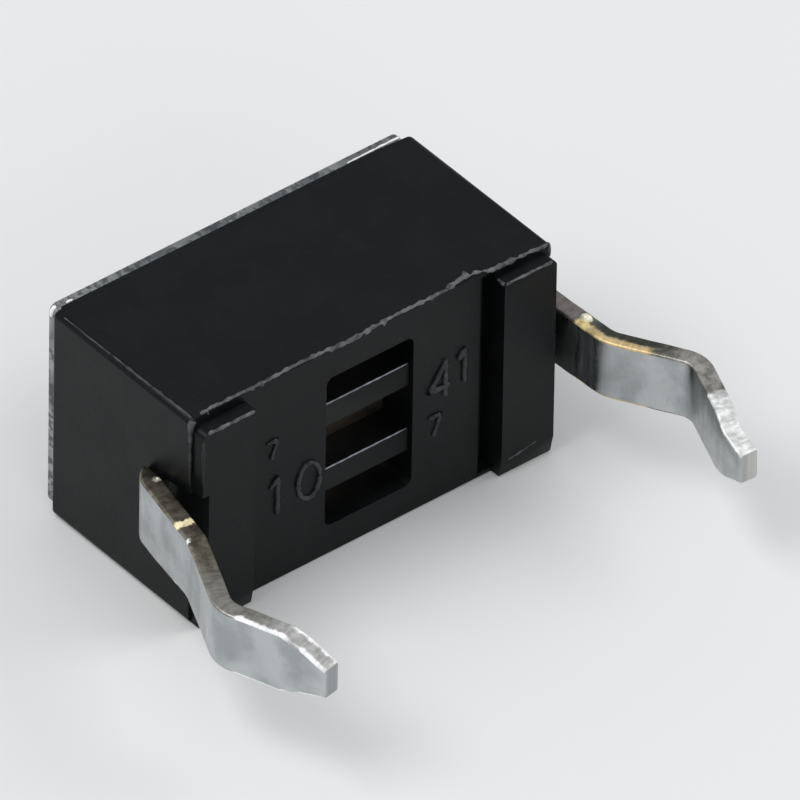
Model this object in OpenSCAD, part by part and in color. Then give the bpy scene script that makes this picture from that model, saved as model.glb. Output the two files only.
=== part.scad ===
// Two-lead through-hole tactile push button switch, lying on one of its long sides.
// Every piece is drawn upright first: x runs from lead to lead, y across the depth and z up from
// the board, which the feet touch at z = 0. as_it_lies() then turns it onto its side.

/* [Housing] */
// Length of the housing, from one lead to the other
body_l = 6.18; // [5.9:0.02:7]
// Depth of the housing, across its two long sides
body_d = 3.5; // [3.3:0.1:4.2]
// Height of the housing, from the board face between its feet to the cover plate
body_h = 2.95; // [2.8:0.05:3.5]
// Radius of the housing's four upright corners
corner_r = 0.1; // [0.04:0.02:0.3]
// Thickness of the two long walls round the cavity
side_wall = 0.45; // [0.35:0.05:0.6]
// Thickness of the two end walls round the cavity
end_wall = 1.09; // [1:0.01:1.2]

/* [Feet] */
// Height of the two feet, which hold the housing off the board
foot_h = 0.22; // [0.15:0.01:0.5]
// Length of each foot
foot_l = 0.9; // [0.5:0.02:1]
// Step from the housing's end walls to the feet
foot_end_inset = 0.05; // [0.02:0.01:0.12]
// Step from the housing's upper long side to the feet, which are flush with the side it lies on
foot_side_inset = 0.15; // [0.02:0.01:0.3]
// Length of the slope at the feet's lower end
foot_slope_l = 0.3; // [0.1:0.02:0.4]
// Depth of that slope
foot_slope_h = 0.06; // [0.02:0.01:0.12]
// Width of the groove along the inner side of the right foot
groove_w = 0.24; // [0.1:0.01:0.3]
// Depth of that groove below the board face
groove_depth = 0.25; // [0.1:0.05:0.4]
// Wall left between the end of a groove and the long side
groove_skin = 0.06; // [0.04:0.02:0.2]

/* [Board side window] */
// Length of the window in the board face
window_l = 1.5; // [1:0.1:2]
// Width of the window across the depth
window_d = 2.55; // [2.2:0.05:2.6]
// Radius of the window's corners
window_r = 0.12; // [0.04:0.02:0.2]
// Width of each of the two ribs that cross the window
rib_w = 0.38; // [0.25:0.01:0.45]
// Distance between the middles of the two ribs
rib_pitch = 1.12; // [1:0.02:1.2]
// Depth of the ribs' faces below the board face
rib_recess = 0.1; // [0.05:0.01:0.3]

/* [Lead notches] */
// Width of the notch in each end wall, at the board
notch_w = 1.2; // [1:0.05:1.4]
// Width of the notch at its top, where the lead comes out
notch_top_w = 0.74; // [0.65:0.02:0.9]
// Depth of the notch into the end wall
notch_depth = 0.16; // [0.1:0.02:0.2]

/* [Terminals] */
// Thickness of the sheet that the terminals are stamped from
lead_t = 0.28; // [0.2:0.02:0.32]
// Width of a lead's blade
lead_w = 0.96; // [0.8:0.02:1.1]
// Width of the neck that passes through the end wall
neck_w = 0.54; // [0.4:0.02:0.6]
// Length over which the neck widens to the blade
shoulder_l = 0.18; // [0.1:0.02:0.3]
// Width of a lead at its tip
tip_w = 0.48; // [0.3:0.02:0.8]
// Height over which the blade narrows to its tip
taper_h = 0.7; // [0.3:0.05:1]
// Depth of the terminals' lower side above the board face between the feet
strip_depth = 0.63; // [0.5:0.01:0.7]
// Distance from the outside of the end wall back to the start of a lead's first bend
root_inset = 0.09; // [0:0.01:0.15]
// Radius of that first bend, on the middle of the sheet
root_r = 0.37; // [0.2:0.01:0.4]
// Radius of the bend into the outward part
kink_r = 0.57; // [0.2:0.01:0.7]
// Radius of the bend at the widest point
knee_r = 0.45; // [0.2:0.01:0.7]
// Radius of the bend before the tip
tip_r = 0.43; // [0.2:0.01:0.7]
// Straight length below the first bend
drop_l = 1.13; // [1:0.01:1.4]

/* [Left lead] */
// Splay of the left lead below its first bend, in degrees from upright
left_splay = 10; // [0:1:20]
// Splay of its outward part
left_out = 24.5; // [15:0.5:40]
// Straight length of its outward part
left_out_l = 1.21; // [0.6:0.01:1.5]
// Lean of its inward part
left_in = 20; // [10:1:30]
// Straight length of its inward part
left_in_l = 1.02; // [0.8:0.01:1.4]
// Lean of its tip
left_tip = 10.5; // [0:0.5:15]
// Straight length of its tip
left_tip_l = 0.45; // [0.2:0.01:0.8]

/* [Right lead] */
// Splay of the right lead below its first bend, in degrees from upright
right_splay = 2.5; // [0:0.5:20]
// Splay of its outward part
right_out = 30.5; // [15:0.5:40]
// Straight length of its outward part
right_out_l = 0.95; // [0.6:0.01:1.5]
// Lean of its inward part
right_in = 22; // [10:1:30]
// Straight length of its inward part
right_in_l = 1.14; // [0.8:0.01:1.4]
// Lean of its tip
right_tip = 4; // [0:0.5:15]
// Straight length of its tip
right_tip_l = 0.32; // [0.2:0.01:0.8]

/* [Contacts] */
// Insulating gap between the two terminals inside the housing
contact_gap = 0.38; // [0.3:0.02:0.4]
// Plastic that covers the terminals inside the cavity
cover_skin = 0.1; // [0.06:0.02:0.16]
// Diameter of the centre contact
centre_contact = 0.6; // [0.5:0.05:0.7]
// Height of the centre contact above the cavity's floor
centre_rise = 0.04; // [0.02:0.01:0.08]
// Diameter of each of the four rim contacts
rim_contact = 0.3; // [0.2:0.02:0.36]
// Thickness of the contact dome
dome_t = 0.07; // [0.05:0.01:0.1]
// Play of the dome and of the button's flange in the cavity, on each side
cavity_play = 0.08; // [0.06:0.01:0.12]

/* [Button] */
// Travel of the button
travel = 0.25; // [0.15:0.01:0.35]
// Length of the button where it comes through the cover plate
button_l = 3.0; // [2.4:0.1:3.2]
// Width of the button where it comes through the cover plate
button_w = 1.4; // [1.2:0.1:1.6]
// Height of the button's top above the cover plate
button_rise = 0.9; // [0.6:0.1:2]
// Radius of the button's upright corners
button_r = 0.3; // [0.1:0.05:0.5]
// Chamfer round the button's top
button_chamfer = 0.08; // [0.03:0.01:0.15]
// Thickness of the flange that holds the button under the cover plate
flange_t = 0.5; // [0.4:0.05:0.6]
// Radius of the flange's upright corners
flange_r = 0.2; // [0.1:0.05:0.3]
// Diameter of the pusher that rests on the dome
pusher_dia = 1.0; // [0.8:0.1:1.2]
// Clearance round and below the button at rest
button_play = 0.05; // [0.03:0.01:0.08]
// Gap between the pusher and the dome, and between the flange and the cover plate
rest_gap = 0.02; // [0.01:0.01:0.03]

/* [Cover plate] */
// Step from the housing's end walls to the cover plate
plate_end_inset = 0.09; // [0.02:0.01:0.14]
// Step from the housing's long sides to the cover plate
plate_side_inset = 0.05; // [0.02:0.01:0.1]
// Thickness of the cover plate
plate_t = 0.18; // [0.15:0.01:0.3]
// Radius of the cover plate's corners
plate_r = 0.12; // [0.04:0.02:0.3]
// Diameter of the housing's posts, which are staked over the plate
post_dia = 0.6; // [0.4:0.05:0.7]
// Diameter of a staked head
head_dia = 0.84; // [0.75:0.02:0.9]
// Height of a staked head
head_h = 0.12; // [0.08:0.01:0.16]
// Distance from a long side to the middle of a post
post_edge = 0.52; // [0.46:0.02:0.6]
// Clearance round a post in its hole in the plate
post_play = 0.01; // [0.01:0.01:0.03]

/* [Hidden] */
$fn = 48;

face_z = foot_h;                                   // board face between the feet
rim_z = face_z + body_h;                           // seat of the cover plate
plate_top = rim_z + plate_t;
button_top = plate_top + button_rise;
plate_l = body_l - 2 * plate_end_inset;
plate_w = body_d - 2 * plate_side_inset;
strip_z = face_z + strip_depth;                    // lower side of the terminals' strips
strip_top = strip_z + lead_t;
floor_z = strip_top + cover_skin;                  // floor of the cavity
cavity_l = body_l - 2 * end_wall;
cavity_d = body_d - 2 * side_wall;
post_y = body_d / 2 - post_edge;
dome_r = cavity_l / 2 - cavity_play;               // the dome's outer radius at its rim
dome_h = centre_rise + travel + dome_t;            // it meets the centre contact at full travel
dome_sphere = (dome_r * dome_r + dome_h * dome_h) / (2 * dome_h);
dome_top = floor_z + dome_h;
wall_mid = (body_l - end_wall) / 2;                // middle of the end wall at +x
root_x = body_l / 2 - root_inset;                  // start of a lead's first bend
strip_mid = strip_z + lead_t / 2;
centre_strip = rib_pitch - contact_gap;            // width of the centre terminal's strip
rail_in = rib_pitch / 2 + contact_gap / 2;         // inner edge of each side rail
rail_out = cavity_d / 2;
lap = 0.1;                                         // how far strips run past what they cover
bar_x = window_l / 2 + lap + contact_gap;          // inner edge of the bar that joins the rails
rim_angle = 31;                                    // rim contacts, in degrees from the long axis
over = 0.5;                                        // how far a cutting shape runs past a face
bend_steps = 12;

left_bends = lead_bends(left_splay, left_out, left_out_l, left_in, left_in_l, left_tip, left_tip_l);
right_bends = lead_bends(right_splay, right_out, right_out_l, right_in, right_in_l, right_tip, right_tip_l);
lying_mid = (face_z + rim_z) / 2;                  // middle of the long side it lies on

// Turns an upright piece onto the long side at y = body_d / 2
module as_it_lies() {
    translate([0, -lying_mid, body_d / 2]) rotate([-90, 0, 0]) children();
}

// A rectangle with true round corners
module rounded(l, d, r) {
    square([l - 2 * r, d], center = true);
    square([l, d - 2 * r], center = true);
    for (x = [-1, 1], y = [-1, 1]) translate([x * (l / 2 - r), y * (d / 2 - r)]) circle(r);
}

// A straight block standing on z = 0, rounded in plan
module slab(l, d, h, r) {
    linear_extrude(h) rounded(l, d, r);
}

// Unit vectors along a heading and to its left
function along(a) = [cos(a), sin(a)];
function left_of(a) = [-sin(a), cos(a)];

// Bends of a lead from the wall to its tip, each [turn, radius, straight length after it]
function lead_bends(splay, out, out_l, in, in_l, tip, tip_l) = [
    [splay - 90, root_r, drop_l],
    [out - splay, kink_r, out_l],
    [-in - out, knee_r, in_l],
    [in - tip, tip_r, tip_l]
];

// Middle of the arc of a bend that starts at a point with a heading; it turns left if positive
function arc_middle(at, heading, bend) = at + sign(bend[0]) * bend[1] * left_of(heading);

// Point a fraction of the way round that arc, moved off to the left of the sheet's middle
function arc_point(at, heading, bend, part, off) =
    arc_middle(at, heading, bend)
    + (off - sign(bend[0]) * bend[1]) * left_of(heading + bend[0] * part);

// Heading before bend i, and the point of the sheet's middle where that bend starts
function heading_at(bends, i) = i == 0 ? 0 : heading_at(bends, i - 1) + bends[i - 1][0];
function point_at(bends, i) =
    i == 0 ? [root_x, strip_mid]
    : arc_point(point_at(bends, i - 1), heading_at(bends, i - 1), bends[i - 1], 1, 0)
      + bends[i - 1][2] * along(heading_at(bends, i));

// One side of the bent sheet, from the middle of the wall to the tip
function sheet_side(bends, off) = concat(
    [[wall_mid, strip_mid + off]],
    [for (i = [0:len(bends) - 1], k = [0:bend_steps])
        arc_point(point_at(bends, i), heading_at(bends, i), bends[i], k / bend_steps, off)],
    [point_at(bends, len(bends)) + off * left_of(heading_at(bends, len(bends)))]
);

function backwards(list) = [for (i = [len(list) - 1:-1:0]) list[i]];

// A lead at +x: the bent sheet seen from its edge, cut to the blank's width
module lead(bends) {
    tip_z = point_at(bends, len(bends))[1];
    far_x = body_l;
    half_neck = neck_w / 2;
    half_blade = lead_w / 2;
    half_tip = tip_w / 2;
    shoulder_x = root_x + shoulder_l;
    intersection() {
        rotate([90, 0, 0])
            linear_extrude(2 * lead_w, center = true)
                polygon(concat(sheet_side(bends, lead_t / 2), backwards(sheet_side(bends, -lead_t / 2))));
        translate([0, 0, -body_l])
            linear_extrude(2 * body_l)
                polygon([
                    [0, -half_neck], [root_x, -half_neck], [shoulder_x, -half_blade],
                    [far_x, -half_blade], [far_x, half_blade],
                    [shoulder_x, half_blade], [root_x, half_neck], [0, half_neck]
                ]);
        rotate([90, 0, 90])
            linear_extrude(far_x)
                polygon([
                    [-half_tip, tip_z - lead_t], [half_tip, tip_z - lead_t], [half_tip, tip_z],
                    [half_blade, tip_z + taper_h], [half_blade, body_h], [-half_blade, body_h],
                    [-half_blade, tip_z + taper_h], [-half_tip, tip_z]
                ]);
    }
}

// Outline of the left terminal's strip inside the housing
module centre_plan() {
    translate([-body_l / 2 + notch_depth, -neck_w / 2])
        square([end_wall - notch_depth + cavity_play, neck_w]);
    translate([-cavity_l / 2, -centre_strip / 2])
        square([cavity_l / 2 + window_l / 2 + lap, centre_strip]);
}

// Outline of the right terminal's forked strip inside the housing
module rim_plan() {
    translate([cavity_l / 2 - cavity_play, -neck_w / 2])
        square([end_wall - notch_depth + cavity_play, neck_w]);
    translate([bar_x, -rail_out]) square([cavity_l / 2 - bar_x, 2 * rail_out]);
    for (side = [-1, 1])
        translate([-cavity_l / 2, side > 0 ? rail_in : -rail_out])
            square([cavity_l / 2 + bar_x + lap, rail_out - rail_in]);
}

// Places of the four rim contacts, under the dome's rim
module at_rim_contacts() {
    at = dome_r - rim_contact / 2;
    for (x = [-1, 1], y = [-1, 1])
        translate([x * at * cos(rim_angle), y * at * sin(rim_angle), 0]) children();
}

module at_posts() {
    for (x = [-1, 1], y = [-1, 1]) translate([x * wall_mid, y * post_y, 0]) children();
}

// Window with its two ribs left standing, as a cutting shape from the board face to the strips
module window_pockets() {
    difference() {
        translate([0, 0, face_z - over]) slab(window_l, window_d, strip_z - face_z + over, window_r);
        for (side = [-1, 1])
            translate([-window_l / 2 - over, side * rib_pitch / 2 - rib_w / 2, face_z + rib_recess])
                cube([window_l + 2 * over, rib_w, strip_z]);
    }
}

// Notch in the end wall at +x from a given height up, narrower towards the lead's neck
module notch(low_z) {
    translate([body_l / 2 - notch_depth, 0, 0])
        rotate([90, 0, 90])
            linear_extrude(notch_depth + over)
                polygon([
                    [-notch_w / 2, low_z], [notch_w / 2, low_z],
                    [notch_top_w / 2, strip_top], [-notch_top_w / 2, strip_top]
                ]);
}

// The foot at +x, with a slope at the end that is lower as the switch lies
module foot() {
    upper_y = foot_side_inset - body_d / 2;
    lower_y = body_d / 2;
    translate([body_l / 2 - foot_end_inset - foot_l, 0, 0])
        rotate([90, 0, 90])
            linear_extrude(foot_l)
                polygon([
                    [upper_y, 0], [lower_y - foot_slope_l, 0], [lower_y, foot_slope_h],
                    [lower_y, face_z + lap], [upper_y, face_z + lap]
                ]);
}

// The groove along the inner side of the foot at +x
module groove() {
    d = body_d - 2 * groove_skin;
    translate([body_l / 2 - foot_end_inset - foot_l - groove_w, -d / 2, face_z - over])
        cube([groove_w, d, groove_depth + over]);
}

module housing() {
    color("#17191c") as_it_lies() {
        difference() {
            union() {
                translate([0, 0, face_z]) slab(body_l, body_d, body_h, corner_r);
                foot();
                mirror([1, 0, 0]) foot();
                at_posts() translate([0, 0, rim_z - over]) cylinder(d = post_dia, h = plate_t + over);
            }
            translate([-cavity_l / 2, -cavity_d / 2, floor_z]) cube([cavity_l, cavity_d, body_h]);
            translate([0, 0, strip_z]) linear_extrude(lead_t) centre_plan();
            translate([0, 0, strip_z]) linear_extrude(lead_t) rim_plan();
            translate([0, 0, strip_z]) cylinder(d = centre_contact, h = body_h);
            at_rim_contacts() translate([0, 0, strip_z]) cylinder(d = rim_contact, h = body_h);
            window_pockets();
            groove();
            notch(face_z);
            mirror([1, 0, 0]) notch(-over);
        }
        at_posts() translate([0, 0, plate_top]) cylinder(d1 = head_dia, d2 = post_dia, h = head_h);
    }
}

module cover_plate() {
    color("#b4b6b4") as_it_lies()
        translate([0, 0, rim_z]) difference() {
            slab(plate_l, plate_w, plate_t, plate_r);
            translate([0, 0, -over])
                slab(button_l + 2 * button_play, button_w + 2 * button_play, plate_t + 2 * over,
                     button_r + button_play);
            at_posts() translate([0, 0, -over])
                cylinder(d = post_dia + 2 * post_play, h = plate_t + 2 * over);
        }
}

module button() {
    flange_top = rim_z - rest_gap;
    stem_z = flange_top - flange_t;
    pusher_z = dome_top + rest_gap;
    half_l = button_l / 2;
    half_w = button_w / 2;
    c = button_chamfer;
    color("#1d1e20") as_it_lies() {
        translate([0, 0, stem_z]) slab(cavity_l - 2 * cavity_play, cavity_d - 2 * cavity_play, flange_t,
                                       flange_r);
        translate([0, 0, pusher_z]) cylinder(d = pusher_dia, h = flange_top - pusher_z);
        intersection() {
            translate([0, 0, stem_z]) slab(button_l, button_w, button_top - stem_z, button_r);
            rotate([90, 0, 0]) linear_extrude(button_w, center = true)
                polygon([[-half_l, stem_z], [half_l, stem_z], [half_l, button_top - c],
                         [half_l - c, button_top], [c - half_l, button_top], [-half_l, button_top - c]]);
            rotate([90, 0, 90]) linear_extrude(button_l, center = true)
                polygon([[-half_w, stem_z], [half_w, stem_z], [half_w, button_top - c],
                         [half_w - c, button_top], [c - half_w, button_top], [-half_w, button_top - c]]);
        }
    }
}

// A round spring dome with its two long sides trimmed to the cavity
module contact_dome() {
    d = cavity_d - 2 * cavity_play;
    color("#c9c7bd") as_it_lies()
        intersection() {
            translate([0, 0, dome_top - dome_sphere]) difference() {
                sphere(r = dome_sphere);
                sphere(r = dome_sphere - dome_t);
            }
            translate([-dome_r, -d / 2, floor_z]) cube([2 * dome_r, d, dome_h + over]);
        }
}

module terminal_left() {
    color("#a8a59a") as_it_lies() {
        mirror([1, 0, 0]) lead(left_bends);
        translate([0, 0, strip_z]) {
            linear_extrude(lead_t) centre_plan();
            cylinder(d = centre_contact, h = lead_t + cover_skin + centre_rise);
        }
    }
}

module terminal_right() {
    color("#a8a59a") as_it_lies() {
        lead(right_bends);
        translate([0, 0, strip_z]) {
            linear_extrude(lead_t) rim_plan();
            at_rim_contacts() cylinder(d = rim_contact, h = lead_t + cover_skin);
        }
    }
}

housing();
cover_plate();
button();
contact_dome();
terminal_left();
terminal_right();
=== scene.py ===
import math

import bmesh
import bpy
from mathutils import Matrix, Vector, noise


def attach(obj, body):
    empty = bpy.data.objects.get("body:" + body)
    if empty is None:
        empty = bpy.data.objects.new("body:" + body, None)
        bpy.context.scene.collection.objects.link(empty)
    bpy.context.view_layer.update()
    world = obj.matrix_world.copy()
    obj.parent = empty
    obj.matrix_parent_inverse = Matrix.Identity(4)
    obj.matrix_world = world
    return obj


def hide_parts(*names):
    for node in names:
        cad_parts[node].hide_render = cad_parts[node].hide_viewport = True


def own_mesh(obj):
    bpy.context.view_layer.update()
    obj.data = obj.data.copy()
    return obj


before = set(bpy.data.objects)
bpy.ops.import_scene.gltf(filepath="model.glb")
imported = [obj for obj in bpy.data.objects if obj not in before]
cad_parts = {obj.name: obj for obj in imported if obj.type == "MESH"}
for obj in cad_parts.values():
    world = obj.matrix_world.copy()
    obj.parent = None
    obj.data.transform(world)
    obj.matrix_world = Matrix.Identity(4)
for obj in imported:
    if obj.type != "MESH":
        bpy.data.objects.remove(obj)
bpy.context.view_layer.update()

mm = 0.001  # the frame is in metres, and the sizes below are given in mm
print("switch: frame loaded")


def newObject(name, mesh, body):
    piece = bpy.data.objects.new(name, mesh)
    bpy.context.scene.collection.objects.link(piece)
    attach(piece, body)
    return piece


def weightNormals(piece):
    # large flat faces stay flat beside their small rounded edges
    normals = piece.modifiers.new("faceWeightedNormals", "WEIGHTED_NORMAL")
    normals.mode = "FACE_AREA"
    normals.keep_sharp = True


def shadeSmooth(mesh):
    mesh.polygons.foreach_set("use_smooth", [True] * len(mesh.polygons))
    mesh.update()


def newGroup(name, inputs, outputs):
    group = bpy.data.node_groups.new(name, "ShaderNodeTree")
    for label, kind, value in inputs:
        socket = group.interface.new_socket(name=label, in_out="INPUT", socket_type=kind)
        socket.default_value = value
    for label, kind in outputs:
        group.interface.new_socket(name=label, in_out="OUTPUT", socket_type=kind)
    return group, group.nodes.new("NodeGroupInput"), group.nodes.new("NodeGroupOutput")


def addNode(tree, kind, **settings):
    node = tree.nodes.new(kind)
    for key, value in settings.items():
        setattr(node, key, value)
    return node


def noiseNode(tree, vector, scale, detail=4.0, roughness=0.55, distortion=0.0):
    node = addNode(tree, "ShaderNodeTexNoise")
    tree.links.new(vector, node.inputs["Vector"])
    node.inputs["Scale"].default_value = scale
    node.inputs["Detail"].default_value = detail
    node.inputs["Roughness"].default_value = roughness
    node.inputs["Distortion"].default_value = distortion
    return node


def rangeNode(tree, value, low, high, toLow=0.0, toHigh=1.0, smooth=True):
    node = addNode(tree, "ShaderNodeMapRange", interpolation_type="SMOOTHSTEP" if smooth else "LINEAR")
    tree.links.new(value, node.inputs["Value"])
    for label, number in (("From Min", low), ("From Max", high), ("To Min", toLow), ("To Max", toHigh)):
        node.inputs[label].default_value = number
    return node.outputs["Result"]


def mathNode(tree, operation, first, second):
    node = addNode(tree, "ShaderNodeMath", operation=operation)
    for socket, value in zip(node.inputs, (first, second)):
        if isinstance(value, (int, float)):
            socket.default_value = value
        else:
            tree.links.new(value, socket)
    return node.outputs[0]


def mixColour(tree, factor, first, second):
    node = addNode(tree, "ShaderNodeMix", data_type="RGBA")
    for socket, value in ((node.inputs[0], factor), (node.inputs[6], first), (node.inputs[7], second)):
        if isinstance(value, (int, float)):
            socket.default_value = value
        elif isinstance(value, tuple):
            socket.default_value = (*value, 1.0)
        else:
            tree.links.new(value, socket)
    return node.outputs[2]


# the plastic's fine grain and slow mottle; scales count per metre
grainValues = {"grainScale": 9000.0, "mottleScale": 900.0, "strength": 0.2, "mottleShare": 1.5,
               "relief": 0.006 * mm}


def mouldGrainGroup():
    values = grainValues
    group, entry, result = newGroup(
        "mouldGrain",
        [("Vector", "NodeSocketVector", (0, 0, 0)),
         ("Grain Scale", "NodeSocketFloat", values["grainScale"]),
         ("Mottle Scale", "NodeSocketFloat", values["mottleScale"]),
         ("Strength", "NodeSocketFloat", values["strength"])],
        [("Mottle", "NodeSocketFloat"), ("Grain", "NodeSocketFloat"), ("Normal", "NodeSocketVector")])
    grain = noiseNode(group, entry.outputs["Vector"], values["grainScale"], detail=3.0)
    group.links.new(entry.outputs["Grain Scale"], grain.inputs["Scale"])
    mottle = noiseNode(group, entry.outputs["Vector"], values["mottleScale"], detail=5.0, roughness=0.6,
                       distortion=0.4)
    group.links.new(entry.outputs["Mottle Scale"], mottle.inputs["Scale"])
    height = mathNode(group, "ADD", grain.outputs["Fac"],
                      mathNode(group, "MULTIPLY", mottle.outputs["Fac"], values["mottleShare"]))
    bump = addNode(group, "ShaderNodeBump")
    bump.inputs["Distance"].default_value = values["relief"]
    group.links.new(entry.outputs["Strength"], bump.inputs["Strength"])
    group.links.new(height, bump.inputs["Height"])
    group.links.new(mottle.outputs["Fac"], result.inputs["Mottle"])
    group.links.new(grain.outputs["Fac"], result.inputs["Grain"])
    group.links.new(bump.outputs["Normal"], result.inputs["Normal"])
    return group


# the sheet metal's rolling streaks, smudges of handling and small pits; scales count per metre
rollingValues = {"streakScale": 9000.0, "strength": 0.2, "smudgeScale": 1700.0, "pitScale": 8000.0,
                 "pitLow": 0.66, "pitHigh": 0.8, "pitDepth": 0.7, "relief": 0.005 * mm}


def rolledMetalGroup():
    values = rollingValues
    group, entry, result = newGroup(
        "rolledMetal",
        [("Vector", "NodeSocketVector", (0, 0, 0)), ("Stretch", "NodeSocketVector", (1, 1, 1)),
         ("Streak Scale", "NodeSocketFloat", values["streakScale"]),
         ("Strength", "NodeSocketFloat", values["strength"])],
        [("Streaks", "NodeSocketFloat"), ("Smudges", "NodeSocketFloat"), ("Pits", "NodeSocketFloat"),
         ("Normal", "NodeSocketVector")])
    stretched = addNode(group, "ShaderNodeVectorMath", operation="MULTIPLY")
    group.links.new(entry.outputs["Vector"], stretched.inputs[0])
    group.links.new(entry.outputs["Stretch"], stretched.inputs[1])
    streaks = noiseNode(group, stretched.outputs[0], values["streakScale"], roughness=0.6)
    group.links.new(entry.outputs["Streak Scale"], streaks.inputs["Scale"])
    smudges = noiseNode(group, entry.outputs["Vector"], values["smudgeScale"], roughness=0.5,
                        distortion=0.15)
    pits = noiseNode(group, entry.outputs["Vector"], values["pitScale"], detail=2.0, roughness=0.5)
    pitMask = rangeNode(group, pits.outputs["Fac"], values["pitLow"], values["pitHigh"])
    height = mathNode(group, "SUBTRACT", streaks.outputs["Fac"],
                      mathNode(group, "MULTIPLY", pitMask, values["pitDepth"]))
    bump = addNode(group, "ShaderNodeBump")
    bump.inputs["Distance"].default_value = values["relief"]
    group.links.new(entry.outputs["Strength"], bump.inputs["Strength"])
    group.links.new(height, bump.inputs["Height"])
    group.links.new(streaks.outputs["Fac"], result.inputs["Streaks"])
    group.links.new(smudges.outputs["Fac"], result.inputs["Smudges"])
    group.links.new(pitMask, result.inputs["Pits"])
    group.links.new(bump.outputs["Normal"], result.inputs["Normal"])
    return group


mouldGrain = mouldGrainGroup()
rolledMetal = rolledMetalGroup()


def newMaterial(name):
    material = bpy.data.materials.new(name)
    material.use_nodes = True
    tree = material.node_tree
    return material, tree, tree.nodes["Principled BSDF"]


def useGroup(tree, group, **values):
    # grainScale=... sets the group's socket Grain Scale
    node = addNode(tree, "ShaderNodeGroup", node_tree=group)
    for key, value in values.items():
        label = key[0].upper() + "".join(" " + c if c.isupper() else c for c in key[1:])
        node.inputs[label].default_value = value
    return node


def objectVector(tree):
    return addNode(tree, "ShaderNodeTexCoord").outputs["Object"]


def plasticMaterial(name, look):
    material, tree, skin = newMaterial(name)
    group = useGroup(tree, mouldGrain, grainScale=look["grainScale"], mottleScale=look["mottleScale"],
                     strength=look["bump"])
    tree.links.new(objectVector(tree), group.inputs["Vector"])
    mottle = rangeNode(tree, group.outputs["Mottle"], 0.35, 0.65)
    colour = mixColour(tree, mottle, look["dark"], look["light"])
    specks = rangeNode(tree, group.outputs["Grain"], 0.66, 0.8)
    tree.links.new(mixColour(tree, specks, colour, look["speck"]), skin.inputs["Base Color"])
    tree.links.new(rangeNode(tree, group.outputs["Mottle"], 0.3, 0.7, look["roughLow"], look["roughHigh"]),
                   skin.inputs["Roughness"])
    tree.links.new(group.outputs["Normal"], skin.inputs["Normal"])
    skin.inputs["Specular IOR Level"].default_value = look["specular"]
    return material


plasticLooks = {
    "housingPlastic": {"dark": (0.0022, 0.0028, 0.0032), "light": (0.0045, 0.0052, 0.0056),
                       "speck": (0.014, 0.016, 0.017), "grainScale": 14000.0, "mottleScale": 1300.0,
                       "bump": 0.4, "roughLow": 0.34, "roughHigh": 0.46, "specular": 0.15},
    # painted edge highlight: lighter plastic on the housing's rounded edges and on corner beads, standing in for
    # light on the edges
    "paintedEdgeHighlight": {"dark": (0.008, 0.009, 0.010), "light": (0.028, 0.030, 0.032),
                      "speck": (0.07, 0.073, 0.075), "grainScale": 16000.0, "mottleScale": 3500.0,
                      "bump": 0.8, "roughLow": 0.45, "roughHigh": 0.65, "specular": 0.3},
    # a paler painted highlight for the brightest edge lines and corners
    "palePaintedHighlight": {"dark": (0.022, 0.024, 0.026), "light": (0.07, 0.073, 0.077),
                  "speck": (0.14, 0.145, 0.15), "grainScale": 16000.0, "mottleScale": 4000.0,
                  "bump": 0.8, "roughLow": 0.45, "roughHigh": 0.65, "specular": 0.3},
    # the flash and edge-line beads' plastic, much lighter than the housing: real flash carrying a painted
    # highlight
    "flashWithPaintedHighlight": {"dark": (0.028, 0.031, 0.033), "light": (0.125, 0.131, 0.135),
                     "speck": (0.27, 0.28, 0.29), "grainScale": 18000.0, "mottleScale": 6000.0,
                     "bump": 1.0, "roughLow": 0.4, "roughHigh": 0.7, "specular": 0.4},
    "litEdge": {"dark": (0.16, 0.17, 0.19), "light": (0.34, 0.36, 0.4),
                "speck": (0.5, 0.52, 0.55), "grainScale": 18000.0, "mottleScale": 5000.0,
                "bump": 0.6, "roughLow": 0.3, "roughHigh": 0.5, "specular": 0.5},
    # the raised numbers: lighter plastic with pale flecks as painted sparkle
    "raisedPlasticPaintedSparkle": {"dark": (0.006, 0.007, 0.008), "light": (0.024, 0.026, 0.029),
                      "speck": (0.10, 0.104, 0.11), "grainScale": 15000.0, "mottleScale": 5000.0,
                      "bump": 0.6, "roughLow": 0.25, "roughHigh": 0.45, "specular": 0.35},
    "buttonPlastic": {"dark": (0.008, 0.009, 0.010), "light": (0.013, 0.014, 0.015),
                      "speck": (0.03, 0.03, 0.032), "grainScale": 12000.0, "mottleScale": 1500.0,
                      "bump": 0.25, "roughLow": 0.3, "roughHigh": 0.42, "specular": 0.3},
}
plastics = {name: plasticMaterial(name, look) for name, look in plasticLooks.items()}


def metalMaterial(name, look):
    material, tree, skin = newMaterial(name)
    group = useGroup(tree, rolledMetal, stretch=look["stretch"], streakScale=look["streakScale"],
                     strength=look["bump"])
    tree.links.new(objectVector(tree), group.inputs["Vector"])
    smudges = rangeNode(tree, group.outputs["Smudges"], 0.38, 0.66)
    colour = mixColour(tree, smudges, look["clean"], look["smudged"])
    colour = mixColour(tree, mathNode(tree, "MULTIPLY", group.outputs["Pits"], 0.5), colour, look["pit"])
    if "streakTone" in look:  # small dark patches along a torn edge
        tone = rangeNode(tree, group.outputs["Streaks"], 0.46, 0.58, 0.0, look["streakTone"])
        colour = mixColour(tree, tone, colour, look["pit"])
    tree.links.new(colour, skin.inputs["Base Color"])
    tree.links.new(rangeNode(tree, group.outputs["Streaks"], 0.3, 0.7, look["roughLow"], look["roughHigh"]),
                   skin.inputs["Roughness"])
    tree.links.new(group.outputs["Normal"], skin.inputs["Normal"])
    skin.inputs["Metallic"].default_value = look.get("metallic", 1.0)
    return material


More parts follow.
